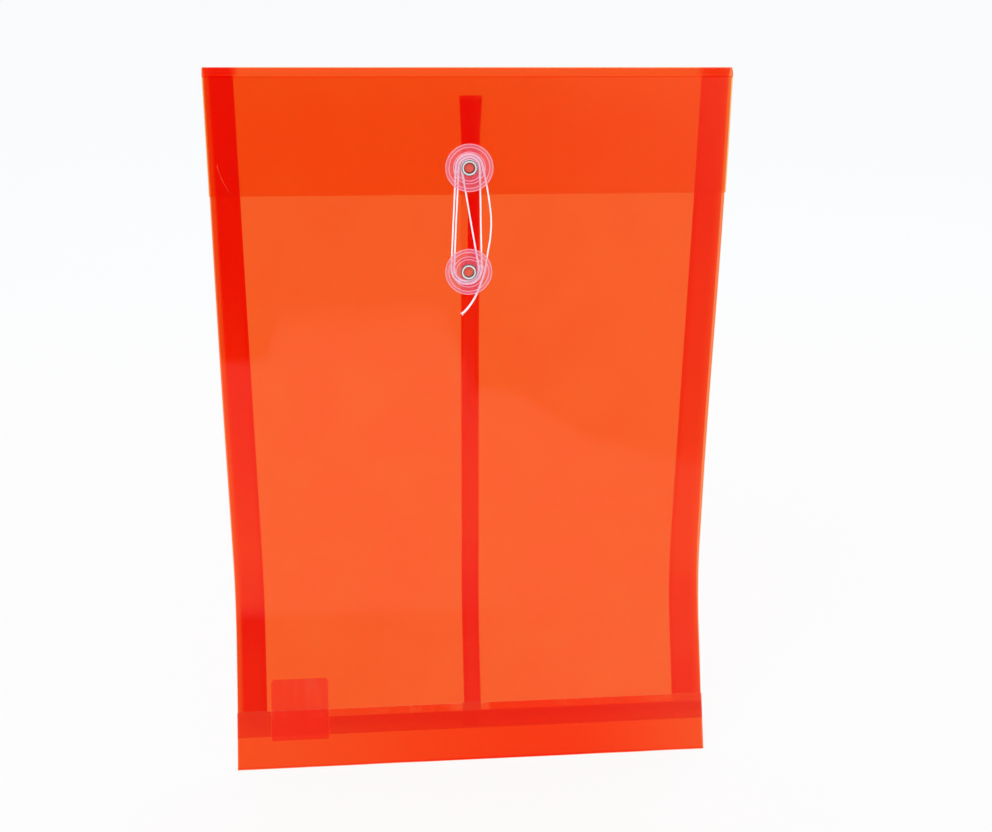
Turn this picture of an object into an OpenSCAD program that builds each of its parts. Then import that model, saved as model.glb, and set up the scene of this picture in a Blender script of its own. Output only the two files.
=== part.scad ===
// String-tie document envelope of translucent plastic sheet, standing upright with its foot bent forward.
// X is the width, the front faces -Y, +Z is up, and the origin is at the middle of the foot's box.
// A place on the envelope is given by s, the way up the rear sheet, and n, the height above its rear face.

/* [Sheet] */
// Width of the envelope
sheet_w = 245; // [200:5:300]
// Height of the rear sheet, from the bottom fold to the top crease
sheet_h = 360; // [330:5:420]
// Thickness of the plastic sheet
sheet_t = 0.3; // [0.2:0.05:0.5]

/* [Bend of the foot] */
// Angle by which the foot leans forward
bend_angle = 26; // [12:1:35]
// Radius of the bend at the rear face
bend_r = 120; // [90:5:150]
// Straight length below the bend
foot_len = 65; // [50:1:90]

/* [Pocket] */
// Space between the rear sheet and the front panels
pocket_gap = 5.2; // [4.5:0.1:9]
// Depth to which the side gussets fold inward
gusset_depth = 15; // [8:0.5:25]
// Space between the two leaves of a gusset where they are pressed flat
leaf_clear = 0.2; // [0.1:0.05:0.4]
// Distance from the top crease down to the edge of the mouth
mouth_drop = 5; // [5:0.5:12]

/* [Closing flap] */
// Depth of the closing flap from the top crease
flap_depth = 58.5; // [52:0.5:80]
// Gap that the flap, opened by half a turn, keeps to the rear sheet's upper edge
open_clear = 0.4; // [0.3:0.05:1]

/* [Bottom closure] */
// Height of the bottom flap that folds up over the front
bottom_flap_h = 29.5; // [24:0.5:42]
// Height at which the welded ends of the front panels begin
weld_start = 16.5; // [6:0.5:18]
// Gap at the line where the front panels flex above the weld
flex_gap = 0.3; // [0.2:0.05:0.6]

/* [Centre seam] */
// Width of the seam strip
seam_w = 9.3; // [7:0.1:16]
// Sideways place of the seam strip's middle
seam_x = -0.3; // [-3:0.1:3]
// Distance from the top crease down to the end of the seam strip
seam_drop = 13; // [11:0.5:20]
// Width of the flared end of the seam strip
seam_end_w = 11.2; // [10:0.1:20]
// Length of the flare
seam_flare = 22; // [10:1:30]

/* [Buttons] */
// Sideways place of both buttons
button_x = -1; // [-3:0.1:3]
// Distance from the top crease down to the upper button
upper_drop = 45.5; // [35:0.5:48]
// Distance between the two buttons
button_pitch = 50.5; // [40:0.5:90]
// Diameter of a button's disc
disc_d = 22.8; // [18:0.1:28]
// Thickness of a disc
disc_t = 0.7; // [0.5:0.1:1.5]
// Height of the moulded rings on a disc
ring_h = 0.25; // [0.1:0.05:0.4]
// Width of a moulded ring
ring_w = 0.6; // [0.3:0.1:0.9]
// Diameter of the hub under a disc, which the string winds round
hub_d = 6.2; // [6:0.1:6.6]

/* [Eyelets] */
// Bore through an eyelet
eyelet_bore = 4.6; // [3:0.1:4.6]
// Outer diameter of an eyelet's barrel
eyelet_d = 5.2; // [4.8:0.1:5.4]
// Diameter of an eyelet's flange and of its rolled rim
flange_d = 7.5; // [6.4:0.1:9]
// Thickness of the flange
flange_t = 0.5; // [0.3:0.05:0.8]
// Thickness of the rolled rim
rim_t = 0.3; // [0.2:0.05:0.5]
// Diameter of the washer behind the sheet
washer_d = 11; // [9:0.5:16]
// Thickness of that washer
washer_t = 0.3; // [0.2:0.05:0.5]
// Radial clearance round an eyelet's barrel
barrel_clear = 0.1; // [0.05:0.05:0.2]
// Axial clearance of a disc between the sheet and the flange
disc_clear = 0.1; // [0.05:0.05:0.2]
// Clearance between the closed flap's rolled rim and the seam strip
rim_clear = 0.3; // [0.2:0.05:0.6]

/* [String] */
// Diameter of the string
cord_d = 0.9; // [0.8:0.1:1.2]
// Clearance of the string above the sheet and below a disc
cord_clear = 0.2; // [0.15:0.05:0.4]

/* [Rear label] */
// Width of the label
label_w = 29.5; // [15:0.5:60]
// Height of the label
label_h = 31.5; // [15:0.5:45]
// Thickness of the label
label_t = 0.12; // [0.1:0.01:0.2]
// Distance from the left edge of the envelope to the label
label_inset = 17.5; // [4:0.5:100]
// Distance from the bottom fold up to the label
label_rise = 14; // [4:0.5:18]
// Radius of the label's corners
label_corner = 1; // [0.5:0.5:5]

/* [Hidden] */
$fn = 64;

// Colours
sheet_colour = [1.0, 0.36, 0.14];
dark_colour = [0.9, 0.12, 0.05];
disc_colour = [1.0, 0.78, 0.8];
metal_colour = [0.8, 0.82, 0.84];
cord_colour = [0.97, 0.95, 0.96];
label_colour = [0.98, 0.95, 0.92];

// Bend of the foot, in steps that every sheet shares so that the layers nest
bend_steps = 10;
bend_len = bend_r * bend_angle * PI / 180;
bend_end = foot_len + bend_len;

// Layers: heights above the rear face, where the front layers also carry the pocket's own gap
weld_gap = 2 * sheet_t + leaf_clear;
panel_n = sheet_t;
seam_n = panel_n + sheet_t;
button_n = seam_n + sheet_t;
flap_n = button_n + rim_clear + rim_t + washer_t;
flap_face_n = flap_n + sheet_t;
crease_r = (flap_face_n + pocket_gap) / 2;
bottom_flap_n = button_n + weld_gap;
fold_r = (bottom_flap_n + sheet_t) / 2;

// Ends of the sheets along the way up
crease_s = sheet_h - crease_r;
flap_edge_s = sheet_h - flap_depth;
mouth_s = sheet_h - mouth_drop;
panel_s = bottom_flap_h + flex_gap;
seam_top_s = sheet_h - seam_drop;
upper_s = sheet_h - upper_drop;
lower_s = upper_s - button_pitch;

// Button stack
hub_h = cord_d + 2 * cord_clear;
disc_face = hub_h + disc_t;
flange_face = disc_face + ring_h;
flange_seat = disc_face + disc_clear;
disc_rings = [0.99, 0.855, 0.685, 0.57];
hole_d = eyelet_d + 2 * barrel_clear;

// Origin at the middle of the foot's box
lowest_z = fold_r * (cos(bend_angle) + sin(bend_angle) - 1);
nearest_y = fold_r * (sin(bend_angle) - cos(bend_angle) - 1);
farthest_y = foot_len * sin(bend_angle) + bend_r * (1 - cos(bend_angle));
middle_y = (nearest_y + farthest_y) / 2;

function limit(v, low, high) = min(max(v, low), high);
function lean(s) = bend_angle * (1 - limit((s - foot_len) / bend_len, 0, 1));
function along(a) = [sin(a), cos(a)];
function outward(a) = [-cos(a), sin(a)];
bend_centre = foot_len * along(bend_angle) + bend_r * outward(bend_angle);
function rear(s) =
    s <= foot_len ? s * along(bend_angle)
    : bend_centre - bend_r * outward(lean(s)) + max(s - bend_end, 0) * along(0);

// Point of the side view at s and n
function place(s, n) = rear(s) + n * outward(lean(s)) - [middle_y, lowest_z];
function in_space(x, s, n) = [x, place(s, n)[0], place(s, n)[1]];

// The pocket opens from the weld's gap to its full gap over the foot and its bend
function gap(s) =
    weld_gap + (pocket_gap - weld_gap) * limit((s - bottom_flap_h) / (bend_end - bottom_flap_h), 0, 1);
shared_stations = concat(
    [bottom_flap_h],
    [for (i = [0:bend_steps]) foot_len + bend_len * i / bend_steps]
);
function stations(s0, s1) = concat([s0], [for (s = shared_stations) if (s > s0 && s < s1) s], [s1]);
function reversed(list) = [for (i = [len(list) - 1:-1:0]) list[i]];

// Extrudes a side view across the width
module across(x0, x1) {
    translate([x0, 0, 0]) rotate([90, 0, 90]) linear_extrude(x1 - x0) children();
}

// Side view of one layer of thickness t, where open is 1 in front of the pocket and 0 behind it
module layer(s0, s1, n, open, t) {
    way = stations(s0, s1);
    low = [for (s = way) place(s, n + open * gap(s))];
    high = [for (s = way) place(s, n + t + open * gap(s))];
    polygon(concat(low, reversed(high)));
}

module half_ring(r) {
    difference() {
        circle(r);
        circle(r - sheet_t);
        translate([-2 * r, -2 * r]) square([4 * r, 2 * r]);
    }
}

// Closed solid through a row of rings that have the same number of points
module loft(rings) {
    sides = len(rings[0]);
    last = (len(rings) - 1) * sides;
    walls = [for (i = [0:len(rings) - 2], k = [0:sides - 1])
        let (a = i * sides + k, b = i * sides + (k + 1) % sides)
        each k < sides / 2 ? [[a, b, a + sides], [b, b + sides, a + sides]]
            : [[a, b, b + sides], [a, b + sides, a + sides]]];
    caps = [for (k = [1:sides - 2]) each [[0, k + 1, k], [last, last + k, last + k + 1]]];
    polyhedron([for (r = rings) each r], concat(walls, caps));
}

// Places children on the button's axis, their z pointing out of the front
module at_button(s, n) {
    translate(in_space(button_x, s, n)) rotate([90, 0, 0]) children();
}
upper_n = flap_face_n + pocket_gap;
lower_n = button_n + pocket_gap;
upper_grip = sheet_t;
lower_grip = 2 * sheet_t;

module eyelet_hole(s, n) {
    reach = 4 * sheet_t;
    at_button(s, n - reach) cylinder(d = hole_d, h = 2 * reach);
}

// Rear sheet, from the bottom fold to the top crease
module back_panel() {
    color(sheet_colour) across(-sheet_w / 2, sheet_w / 2) layer(fold_r, crease_s, 0, 0, sheet_t);
}

// Living hinge over the top: half a tube with a short lip down to the flap
flap_top_s = crease_s - open_clear;
module flap_crease() {
    color(sheet_colour) across(-sheet_w / 2, sheet_w / 2) {
        translate(place(crease_s, crease_r)) half_ring(crease_r);
        layer(flap_top_s, crease_s, flap_n, 1, sheet_t);
    }
}

// Flap that closes over the front
module closing_flap() {
    color(sheet_colour) difference() {
        across(-sheet_w / 2, sheet_w / 2) layer(flap_edge_s, flap_top_s, flap_n, 1, sheet_t);
        eyelet_hole(upper_s, upper_n);
    }
}

// Front halves, which meet at the seam strip's right edge
seam_edge_x = seam_x + seam_w / 2;
module left_front_panel() {
    color(sheet_colour) difference() {
        across(-sheet_w / 2, seam_edge_x) layer(panel_s, mouth_s, panel_n, 1, sheet_t);
        eyelet_hole(lower_s, lower_n);
    }
}

module right_front_panel() {
    color(sheet_colour) across(seam_edge_x, sheet_w / 2) layer(panel_s, mouth_s, panel_n, 1, sheet_t);
}

// Seam strip that joins the halves, with a flared and slightly rounded upper end
seam_crown = 0.8;
crown_steps = 8;
function crown(i) = let (u = 2 * i / crown_steps - 1) [u * seam_end_w / 2, -seam_crown * u * u];
module seam_outline() {
    top = place(seam_top_s, 0)[1];
    neck = top - seam_flare;
    translate([seam_x, 0]) polygon(concat(
        [[-seam_w / 2, 0], [-seam_w / 2, neck]],
        [for (i = [0:crown_steps]) [0, top] + crown(i)],
        [[seam_w / 2, neck], [seam_w / 2, 0]]
    ));
}

module centre_seam() {
    depth = farthest_y - nearest_y;
    color(dark_colour) difference() {
        intersection() {
            across(seam_x - seam_end_w, seam_x + seam_end_w) layer(panel_s, seam_top_s, seam_n, 1, sheet_t);
            translate([0, depth, 0]) rotate([90, 0, 0]) linear_extrude(2 * depth) seam_outline();
        }
        eyelet_hole(lower_s, lower_n);
    }
}

// Gusset leaves: the rear one folds in from the rear sheet, the front one folds back out to the front panel
function leaf_ring(s, outer_n, inner_n) = [
    in_space(-sheet_w / 2, s, outer_n),
    in_space(-sheet_w / 2, s, outer_n + sheet_t),
    in_space(-sheet_w / 2 + gusset_depth, s, inner_n + sheet_t),
    in_space(-sheet_w / 2 + gusset_depth, s, inner_n)
];
function fold_n(s) = sheet_t + gap(s) / 2;
module rear_gusset() {
    loft([for (s = stations(bottom_flap_h, mouth_s))
        leaf_ring(s, sheet_t, fold_n(s) - leaf_clear / 2 - sheet_t)]);
}

module front_gusset() {
    loft([for (s = stations(panel_s, mouth_s)) leaf_ring(s, gap(s), fold_n(s) + leaf_clear / 2)]);
}

module left_rear_gusset() {
    color(dark_colour) rear_gusset();
}

module left_front_gusset() {
    color(dark_colour) front_gusset();
}

module right_rear_gusset() {
    color(dark_colour) mirror([1, 0, 0]) rear_gusset();
}

module right_front_gusset() {
    color(dark_colour) mirror([1, 0, 0]) front_gusset();
}

// Fold along the foot, between the rear sheet and the bottom flap
module bottom_fold() {
    color(sheet_colour) across(-sheet_w / 2, sheet_w / 2)
        translate(place(fold_r, fold_r)) rotate(180 - bend_angle) half_ring(fold_r);
}

// Flap folded up from the rear sheet over the front
module bottom_flap() {
    color(sheet_colour) across(-sheet_w / 2, sheet_w / 2)
        layer(fold_r, bottom_flap_h, bottom_flap_n, 0, sheet_t);
}

// Ends of the front panels and gussets, fused between the rear sheet and the bottom flap
module bottom_weld() {
    color(dark_colour) across(-sheet_w / 2, sheet_w / 2)
        layer(weld_start, bottom_flap_h, sheet_t, 0, bottom_flap_n - sheet_t);
}

// Blank paper label stuck to the back
module rear_label() {
    corner = [-sheet_w / 2 + label_inset, label_rise];
    color(label_colour) translate(in_space(0, 0, 0)) rotate([90 - bend_angle, 0, 0])
        mirror([0, 0, 1]) linear_extrude(label_t) translate(corner) rounded_plate();
}

module rounded_plate() {
    r = label_corner;
    for (x = [r, label_w - r], y = [r, label_h - r]) translate([x, y]) circle(r);
    translate([r, 0]) square([label_w - 2 * r, label_h]);
    translate([0, r]) square([label_w, label_h - 2 * r]);
}

// Clear disc with moulded rings and the hub under it
module button_disc() {
    rotate_extrude() difference() {
        union() {
            translate([0, disc_clear]) square([hub_d / 2, disc_face - disc_clear]);
            translate([0, hub_h]) square([disc_d / 2, disc_t]);
            for (share = disc_rings) translate([share * disc_d / 2 - ring_w, disc_face - disc_t / 2])
                square([ring_w, disc_t / 2 + ring_h]);
        }
        square([2 * hole_d, 4 * flange_face], center = true);
    }
}

// Nickel eyelet: barrel, domed flange in front and rolled rim behind
module eyelet(grip) {
    foot = -grip - washer_t - rim_t;
    wall = (eyelet_d - eyelet_bore) / 2;
    flange_w = (flange_d - eyelet_bore) / 2;
    rotate_extrude() translate([eyelet_bore / 2, 0]) {
        translate([0, foot]) square([wall, flange_seat - foot]);
        translate([0, foot]) square([flange_w, rim_t]);
        translate([0, flange_seat]) domed_flange(flange_w);
    }
}

// Section of the flange, rounded over its outer edge
module domed_flange(w) {
    intersection() {
        square([w, flange_t]);
        translate([w / 2, 0]) circle(norm([w / 2, flange_t / 2]));
    }
}

// Flat washer behind the sheet
module washer(grip) {
    translate([0, 0, -grip - washer_t]) difference() {
        cylinder(d = washer_d, h = washer_t);
        translate([0, 0, -washer_t]) cylinder(d = hole_d, h = 3 * washer_t);
    }
}

module upper_disc() {
    color(disc_colour) at_button(upper_s, upper_n) button_disc();
}

module lower_disc() {
    color(disc_colour) at_button(lower_s, lower_n) button_disc();
}

module upper_eyelet() {
    color(metal_colour) at_button(upper_s, upper_n) eyelet(upper_grip);
}

module lower_eyelet() {
    color(metal_colour) at_button(lower_s, lower_n) eyelet(lower_grip);
}

module upper_washer() {
    color(disc_colour) at_button(upper_s, upper_n) washer(upper_grip);
}

module lower_washer() {
    color(disc_colour) at_button(lower_s, lower_n) washer(lower_grip);
}

// String: tied round the upper hub, crossed down, then wound twice round both buttons.
// Plan points are [across, up] from the lower button's axis.
cord_sides = 6;
turn_gap = 0.45;
lower_turn_gap = 0.5;
tie_clear = 0.1;
tie_r = hub_d / 2 + tie_clear + cord_d / 2;
tie_start = -60;
arc_rings = 12;
turns = 2;
lower_loop_r = 6;
lower_loop_at = [-1, 1.1];
upper_loop_at = [0, button_pitch];
tail_angle = 15;
function upper_r(k) = tie_r + (k + 1) * (cord_d + turn_gap);
function lower_r(k) = lower_loop_r + k * (cord_d + lower_turn_gap);
reach = upper_loop_at - lower_loop_at;
cross_angle = asin((tie_r + lower_r(0)) / norm(reach)) - atan(reach[0] / reach[1]);
function round_hub(at, r, a0, a1) =
    [for (i = [0:arc_rings]) let (a = a0 + (a1 - a0) * i / arc_rings) at + r * [cos(a), sin(a)]];
function turn(k) = concat(
    round_hub(lower_loop_at, lower_r(k), k == 0 ? cross_angle : 0, -180),
    round_hub(upper_loop_at, upper_r(k), 180, k == turns - 1 ? tail_angle : 0)
);
tail_way_out = [sin(tail_angle), -cos(tail_angle)];
tail_start = upper_loop_at + upper_r(turns - 1) * [cos(tail_angle), sin(tail_angle)] + cord_d * tail_way_out;
winding_plan = concat(
    round_hub(upper_loop_at, tie_r, tie_start, 180 + cross_angle),
    [for (k = [0:turns - 1]) each turn(k)],
    [tail_start]
);

// Slack last run and loose end, from the upper button past the lower one
tail_plan = concat([tail_start, tail_start + cord_d * tail_way_out], [
    [7.5, 46], [8.7, 40], [9.8, 33.5], [10.6, 27.5], [10.8, 22], [10.3, 15.5], [9.2, 9], [8.6, 5], [8.3, 2],
    [7.6, -1.5], [6.4, -5], [5.1, -8.5], [4.0, -11.3], [2.8, -13.8], [1.2, -16.4], [-0.6, -18.8],
    [-2.3, -20.7], [-3.8, -21.8]
]);

// Height of the string: it steps down from the flap to the front panel below the flap's edge
cord_lift = cord_clear + cord_d / 2;
step_clear = 1;
step_run = 14;
step_high = flap_edge_s - step_clear;
step_low = step_high - step_run;
function cord_n(s) =
    lower_n + cord_lift + (upper_n - lower_n) * limit((s - step_low) / (step_high - step_low), 0, 1);
function cord_point(p) = in_space(button_x + p[0], lower_s + p[1], cord_n(lower_s + p[1]));

// Adds points along the long runs, so that the string follows the step
run_step = 6;
function run_count(p, i) = max(1, ceil(norm(p[i + 1] - p[i]) / run_step));
function filled(p) = concat(
    [for (i = [0:len(p) - 2], j = [0:run_count(p, i) - 1]) p[i] + (p[i + 1] - p[i]) * j / run_count(p, i)],
    [p[len(p) - 1]]
);
winding_way = [for (p = filled(winding_plan)) cord_point(p)];
tail_way = [for (p = filled(tail_plan)) cord_point(p)];

// Length of a way, and the least gap that the string keeps to itself
function way_len(w, i = 0) = i >= len(w) - 1 ? 0 : norm(w[i + 1] - w[i]) + way_len(w, i + 1);
near_points = 8;
whole_way = concat(winding_way, [for (i = [1:len(tail_way) - 1]) tail_way[i]]);
least_gap = min([for (i = [0:len(whole_way) - 1], j = [i + near_points:1:len(whole_way) - 1])
    norm(whole_way[j] - whole_way[i])]) - cord_d;
echo(string_length = way_len(whole_way), string_least_gap = least_gap);

function unit(v) = v / norm(v);
function heading(w, i) = unit(w[min(i + 1, len(w) - 1)] - w[max(i - 1, 0)]);
function cord_ring(w, i) =
    let (t = heading(w, i), u = unit(cross(t, [0, 1, 0])), v = cross(t, u))
    [for (k = [0:cord_sides - 1])
        let (a = 360 * k / cord_sides) w[i] + cord_d / 2 * (cos(a) * u + sin(a) * v)];
module cord(w) {
    color(cord_colour) loft([for (i = [0:len(w) - 1]) cord_ring(w, i)]);
}

module string_winding() {
    cord(winding_way);
}

module string_tail() {
    cord(tail_way);
}

back_panel();
flap_crease();
closing_flap();
left_front_panel();
right_front_panel();
centre_seam();
left_rear_gusset();
left_front_gusset();
right_rear_gusset();
right_front_gusset();
bottom_fold();
bottom_flap();
bottom_weld();
rear_label();
upper_disc();
upper_eyelet();
upper_washer();
lower_disc();
lower_eyelet();
lower_washer();
string_winding();
string_tail();
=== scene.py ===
"""String-tie document envelope of translucent orange sheet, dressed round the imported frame. Metres."""
import math
from typing import NamedTuple

import bmesh
import bpy
import numpy as np
from mathutils import Matrix, Vector


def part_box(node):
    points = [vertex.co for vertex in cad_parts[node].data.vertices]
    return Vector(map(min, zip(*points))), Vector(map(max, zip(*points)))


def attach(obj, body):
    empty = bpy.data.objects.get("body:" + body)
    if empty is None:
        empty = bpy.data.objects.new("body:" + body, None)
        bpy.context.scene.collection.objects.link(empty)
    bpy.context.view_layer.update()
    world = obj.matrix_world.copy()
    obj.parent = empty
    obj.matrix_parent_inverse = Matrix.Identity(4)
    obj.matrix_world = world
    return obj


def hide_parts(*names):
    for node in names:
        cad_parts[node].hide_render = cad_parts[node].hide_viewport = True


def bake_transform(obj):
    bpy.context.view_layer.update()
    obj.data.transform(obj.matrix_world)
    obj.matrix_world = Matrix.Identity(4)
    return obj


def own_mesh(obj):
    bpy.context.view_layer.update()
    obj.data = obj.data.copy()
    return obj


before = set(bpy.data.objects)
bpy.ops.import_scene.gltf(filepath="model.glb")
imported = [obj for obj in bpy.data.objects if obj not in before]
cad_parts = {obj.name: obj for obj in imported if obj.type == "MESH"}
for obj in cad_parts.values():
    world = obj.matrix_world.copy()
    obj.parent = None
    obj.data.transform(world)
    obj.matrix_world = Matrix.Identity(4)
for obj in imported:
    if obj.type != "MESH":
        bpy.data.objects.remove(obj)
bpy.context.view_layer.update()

scene = bpy.context.scene
scene.view_settings.view_transform = "Standard"
scene.cycles.transparent_max_bounces = 48

# Sheet, its bend and its layers, as in the part's source
HALF_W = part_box("bottom_flap")[1].x
SHEET_H = 0.360
SHEET_T = 0.0003
BEND_ANGLE = math.radians(26)
BEND_R = 0.120
FOOT_LEN = 0.065
POCKET_GAP = 0.0052
GUSSET_DEPTH = 0.015
LEAF_CLEAR = 0.0002
MOUTH_CLEAR = 0.0002
FLAP_DEPTH = 0.0585
OPEN_CLEAR = 0.0004
BOTTOM_FLAP_H = 0.0295
WELD_START = 0.0165
FLEX_GAP = 0.00005
RIM_CLEAR = 0.0003

# Seam strip
SEAM_W = 0.0091
SEAM_X = -0.0003
SEAM_DROP = 0.0124
SEAM_END_W = 0.0111
SEAM_FLARE = 0.018
SEAM_CROWN = 0.0002

# Buttons and eyelets
BUTTON_X = -0.001
UPPER_DROP = 0.0455
BUTTON_PITCH = 0.0505
DISC_R = 0.0114
DISC_T = 0.0007
RING_H = 0.00025
RING_W = 0.0004
RING_SHARES = (0.995, 0.86, 0.675, 0.555)
HUB_R = 0.0031
BORE_R = 0.0023
BARREL_R = 0.0026
HOLE_R = 0.0027
FLANGE_R = 0.00375
FLANGE_T = 0.0005
MOUTH_R = 0.0025
RIM_T = 0.0003
WASHER_R = 0.0055
WASHER_T = 0.0003
DISC_CLEAR = 0.0001

# String
CORD_D = 0.0009
CORD_CLEAR = 0.0002

# Label
LABEL_W = 0.0295
LABEL_H = 0.0315
LABEL_T = 0.00012
LABEL_INSET = 0.0175
LABEL_RISE = 0.014
LABEL_CORNER = 0.001

# Derived places along the way up the rear sheet, and heights above its rear face
BEND_LEN = BEND_R * BEND_ANGLE
BEND_END = FOOT_LEN + BEND_LEN
WELD_GAP = 2 * SHEET_T + LEAF_CLEAR
PANEL_N = SHEET_T
SEAM_N = PANEL_N + SHEET_T
BUTTON_N = SEAM_N + SHEET_T
FLAP_N = BUTTON_N + RIM_CLEAR + RIM_T + WASHER_T
CREASE_R = (FLAP_N + SHEET_T + POCKET_GAP) / 2
BOTTOM_FLAP_N = BUTTON_N + WELD_GAP
FOLD_R = (BOTTOM_FLAP_N + SHEET_T) / 2
CREASE_S = SHEET_H - CREASE_R
FLAP_TOP_S = CREASE_S - OPEN_CLEAR
FLAP_EDGE_S = SHEET_H - FLAP_DEPTH
MOUTH_S = CREASE_S - MOUTH_CLEAR
PANEL_S = BOTTOM_FLAP_H + FLEX_GAP
SEAM_TOP_S = SHEET_H - SEAM_DROP
SEAM_EDGE_X = SEAM_X + SEAM_W / 2
UPPER_S = SHEET_H - UPPER_DROP
LOWER_S = UPPER_S - BUTTON_PITCH
UPPER_N = FLAP_N + SHEET_T + POCKET_GAP
LOWER_N = BUTTON_N + POCKET_GAP
HUB_H = CORD_D + 2 * CORD_CLEAR
DISC_FACE = HUB_H + DISC_T
FLANGE_SEAT = DISC_FACE + DISC_CLEAR
SIN_B, COS_B = math.sin(BEND_ANGLE), math.cos(BEND_ANGLE)
CENTRE_Y = FOOT_LEN * SIN_B - BEND_R * COS_B
CENTRE_Z = FOOT_LEN * COS_B + BEND_R * SIN_B
LOWEST_Z = FOLD_R * (COS_B + SIN_B - 1)
NEAREST_Y = FOLD_R * (SIN_B - COS_B - 1)
FARTHEST_Y = FOOT_LEN * SIN_B + BEND_R * (1 - COS_B)
MIDDLE_Y = (NEAREST_Y + FARTHEST_Y) / 2


def smooth(t):
    """Eases from 0 to 1 as t goes from 0 to 1."""
    t = np.clip(t, 0, 1)
    return t * t * (3 - 2 * t)


# Unevenness: heights of the ripples, the still strip along the seam, and where the edges start to bow
RIPPLE_H = 0.00007
FOOT_RIPPLE_H = 0.00009
FOOT_RIPPLE_S = 0.008
FOOT_RIPPLE_SPAN = 0.009
STILL_HALF_W = 0.012
STILL_FADE = 0.03
BOW_X = 0.1


def ripple(x, s):
    """Slight unevenness that all the layers share, with none along the seam and the buttons."""
    aside = smooth((np.abs(x - SEAM_X) - STILL_HALF_W) / STILL_FADE)
    wide = RIPPLE_H * np.sin(x / 0.021 + 1.1 * np.sin(s / 0.05)) * np.sin(s / 0.034 + 0.6)
    low = np.exp(-(((s - FOOT_RIPPLE_S) / FOOT_RIPPLE_SPAN) ** 2))
    foot = FOOT_RIPPLE_H * low * np.sin(x / 0.0058 + 0.8 * np.sin(x / 0.019))
    return aside * (wide + foot)


def wave(s, mean, swing, crest, length):
    """A value that swings about its mean on the way up, highest at its crest."""
    return mean + swing * np.cos((s - crest) / length)


def edge_bow(x, s):
    """How far the sheet's side edges wander outwards, with nothing away from them."""
    right = wave(s, 0.0006, 0.00028, 0.28, 0.0334)
    left = wave(s, 0.0001, 0.0002, 0.22, 0.0446)
    near = smooth((np.abs(x) - BOW_X) / (HALF_W - BOW_X))
    return near * np.where(x > 0, right, -left)


def in_space(x, s, n):
    """Points in the frame at x across, s up the rear sheet and n above its rear face."""
    x, s, n = np.broadcast_arrays(*(np.asarray(v, float) for v in (x, s, n)))
    lean = BEND_ANGLE * (1 - np.clip((s - FOOT_LEN) / BEND_LEN, 0, 1))
    straight = s <= FOOT_LEN
    above = np.maximum(s - BEND_END, 0)
    rear_y = np.where(straight, s * SIN_B, CENTRE_Y + BEND_R * np.cos(lean))
    rear_z = np.where(straight, s * COS_B, CENTRE_Z - BEND_R * np.sin(lean) + above)
    height = n + ripple(x, s)
    y = rear_y - height * np.cos(lean) - MIDDLE_Y
    z = rear_z + height * np.sin(lean) - LOWEST_Z
    return np.stack([x + edge_bow(x, s), y, z], -1)


def gap(s):
    """Space in the pocket, which opens over the foot and its bend."""
    opened = np.clip((s - BOTTOM_FLAP_H) / (BEND_END - BOTTOM_FLAP_H), 0, 1)
    return WELD_GAP + (POCKET_GAP - WELD_GAP) * opened


# Camera, fitted to the outline in the photograph's frame
FRAME_W = 992
FOCAL_PX = 1362.8
SENSOR_MM = 36
CAMERA_AT = (-0.05101, -0.62616, 0.42281)
PITCH, YAW, ROLL = (math.radians(v) for v in (20.67, 5.717, -0.646))


def make_camera():
    data = bpy.data.cameras.new("camera")
    data.sensor_fit = "HORIZONTAL"
    data.sensor_width = SENSOR_MM
    data.lens = FOCAL_PX * SENSOR_MM / FRAME_W
    data.clip_start = 0.01
    camera = bpy.data.objects.new("camera", data)
    scene.collection.objects.link(camera)
    ahead = Vector((math.sin(YAW) * math.cos(PITCH), math.cos(YAW) * math.cos(PITCH), -math.sin(PITCH)))
    level = Vector((math.cos(YAW), -math.sin(YAW), 0))
    down = ahead.cross(level)
    right = math.cos(ROLL) * level + math.sin(ROLL) * down
    up = math.sin(ROLL) * level - math.cos(ROLL) * down
    turn = Matrix((right, up, -ahead)).transposed()
    camera.matrix_world = Matrix.Translation(CAMERA_AT) @ turn.to_4x4()
    scene.camera = camera


make_camera()


# Materials
def new_material(name):
    """A material with an empty node tree: its nodes, its links and its output node."""
    material = bpy.data.materials.new(name)
    material.use_nodes = True
    tree = material.node_tree
    tree.nodes.clear()
    return material, tree.nodes, tree.links, tree.nodes.new("ShaderNodeOutputMaterial")


def shader(nodes, kind, **inputs):
    node = nodes.new(kind)
    for key, value in inputs.items():
        node.inputs[key.replace("_", " ")].default_value = value
    return node


def mix(nodes, links, share, first, second):
    """Mix Shader of two shader outputs, where share is a number or an output."""
    node = nodes.new("ShaderNodeMixShader")
    if isinstance(share, (int, float)):
        node.inputs[0].default_value = share
    else:
        links.new(share, node.inputs[0])
    links.new(first, node.inputs[1])
    links.new(second, node.inputs[2])
    return node.outputs[0]


def math_node(nodes, links, operation, first, second):
    node = nodes.new("ShaderNodeMath")
    node.operation = operation
    for socket, value in zip(node.inputs, (first, second)):
        if isinstance(value, (int, float)):
            socket.default_value = value
        else:
            links.new(value, socket)
    return node.outputs[0]


def noise(nodes, links, scale, detail=2.0):
    """Noise over the object's own coordinates, with its repeats per metre."""
    place = nodes.new("ShaderNodeTexCoord")
    node = nodes.new("ShaderNodeTexNoise")
    node.inputs["Scale"].default_value = scale
    node.inputs["Detail"].default_value = detail
    links.new(place.outputs["Object"], node.inputs["Vector"])
    return node.outputs["Fac"]


def ramp(nodes, links, value, low, high):
    """Colour between low and high, mixed by a value from 0 to 1."""
    node = nodes.new("ShaderNodeMix")
    node.data_type = "RGBA"
    links.new(value, node.inputs["Factor"])
    node.inputs["A"].default_value = (*low, 1)
    node.inputs["B"].default_value = (*high, 1)
    return node.outputs["Result"]


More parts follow.
